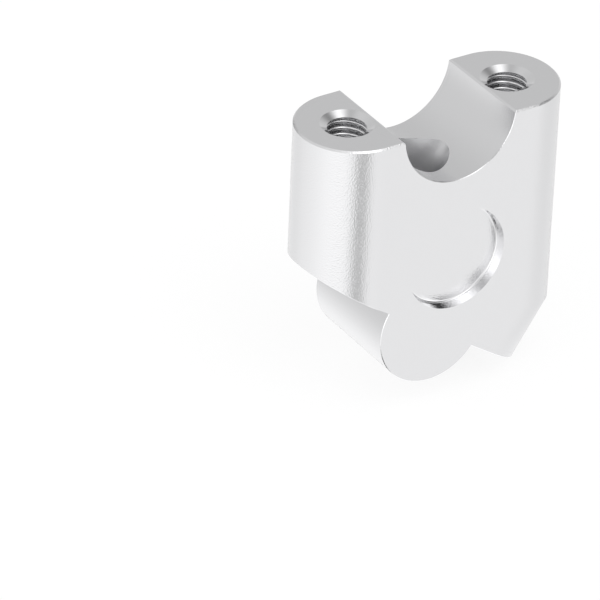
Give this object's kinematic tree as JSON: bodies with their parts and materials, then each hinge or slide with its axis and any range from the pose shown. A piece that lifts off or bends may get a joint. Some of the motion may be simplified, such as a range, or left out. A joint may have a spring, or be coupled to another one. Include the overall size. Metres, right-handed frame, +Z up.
{
  "type": "motorcycle bar riser",
  "caption": "Milled aluminium block that lifts a handlebar: half-round cradle with tapped holes on top, sloping base with a half-round false bar and counterbored bolts.",
  "frame": {"origin": "centre of the handlebar's axis in the cradle, halfway through the block's thickness", "axes": "+Y along the handlebar's axis, +Z up out of the cradle, +X towards the column that carries on down into the leg"},
  "size_m": [0.0506, 0.0208, 0.0538],
  "materials": {
    "milled_aluminium": "bead blasted and clear anodised, silver"
  },
  "bodies": {
    "root": {"riser_block": "milled_aluminium"}
  },
  "joints": []
}
